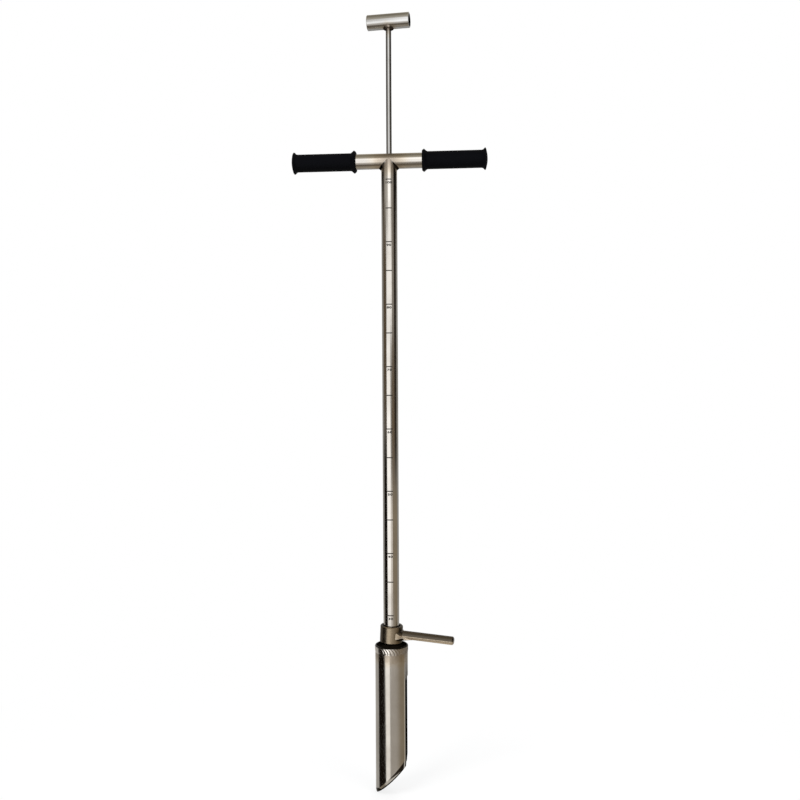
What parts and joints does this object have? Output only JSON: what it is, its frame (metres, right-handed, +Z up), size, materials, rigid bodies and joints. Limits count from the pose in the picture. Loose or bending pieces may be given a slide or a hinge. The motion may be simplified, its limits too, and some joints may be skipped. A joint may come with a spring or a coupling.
{
  "type": "soil sampler probe",
  "caption": "Hand soil sampler: slant-mouthed tube with a side window on a marked shaft, gripped T crossbar, swivelling foot peg and a sliding push rod with a plunger.",
  "frame": {"origin": "on the shaft's axis, at the seat just under the weld band where a sheath on the sampling tube stops", "axes": "+Z up the shaft, +X along the crossbar towards the side window, -Y towards the marked front"},
  "size_m": [0.32, 0.0542, 1.2682],
  "materials": {
    "polished_steel": "polished",
    "satin_steel": "satin",
    "plate_steel": "satin",
    "weld_steel": "satin",
    "black_rubber": "matte",
    "bush_plastic": "satin"
  },
  "bodies": {
    "frame": {"shaft_tube": "polished_steel", "crossbar": "polished_steel", "crossbar_weld_left": "weld_steel", "crossbar_weld_right": "weld_steel", "grip_left": "black_rubber", "grip_right": "black_rubber", "top_plate": "plate_steel", "plate_weld": "weld_steel", "shaft_weld": "weld_steel", "sampling_tube": "polished_steel", "guide_bush": "bush_plastic", "rod_seal": "black_rubber"},
    "foot_rest": {"foot_collar": "satin_steel", "foot_peg": "satin_steel", "foot_peg_weld": "weld_steel"},
    "plunger": {"piston_disc": "satin_steel"},
    "ejector": {"push_rod": "polished_steel", "push_handle": "polished_steel", "push_handle_weld": "weld_steel", "thrust_washer": "satin_steel", "piston_washer": "satin_steel", "piston_nut": "satin_steel"}
  },
  "joints": [
    {"name": "eject_slide", "type": "slide", "parent": "frame", "child": "plunger", "axis": [0, 0, -1], "range_m": [0, 0.198]},
    {"name": "push_rod_turn", "type": "hinge", "parent": "plunger", "child": "ejector", "pos_m": [0, 0, 0], "axis": [0, 0, 1], "continuous": true},
    {"name": "foot_rest_turn", "type": "hinge", "parent": "frame", "child": "foot_rest", "pos_m": [0, 0, 0.0293], "axis": [0, 0, 1], "continuous": true}
  ]
}
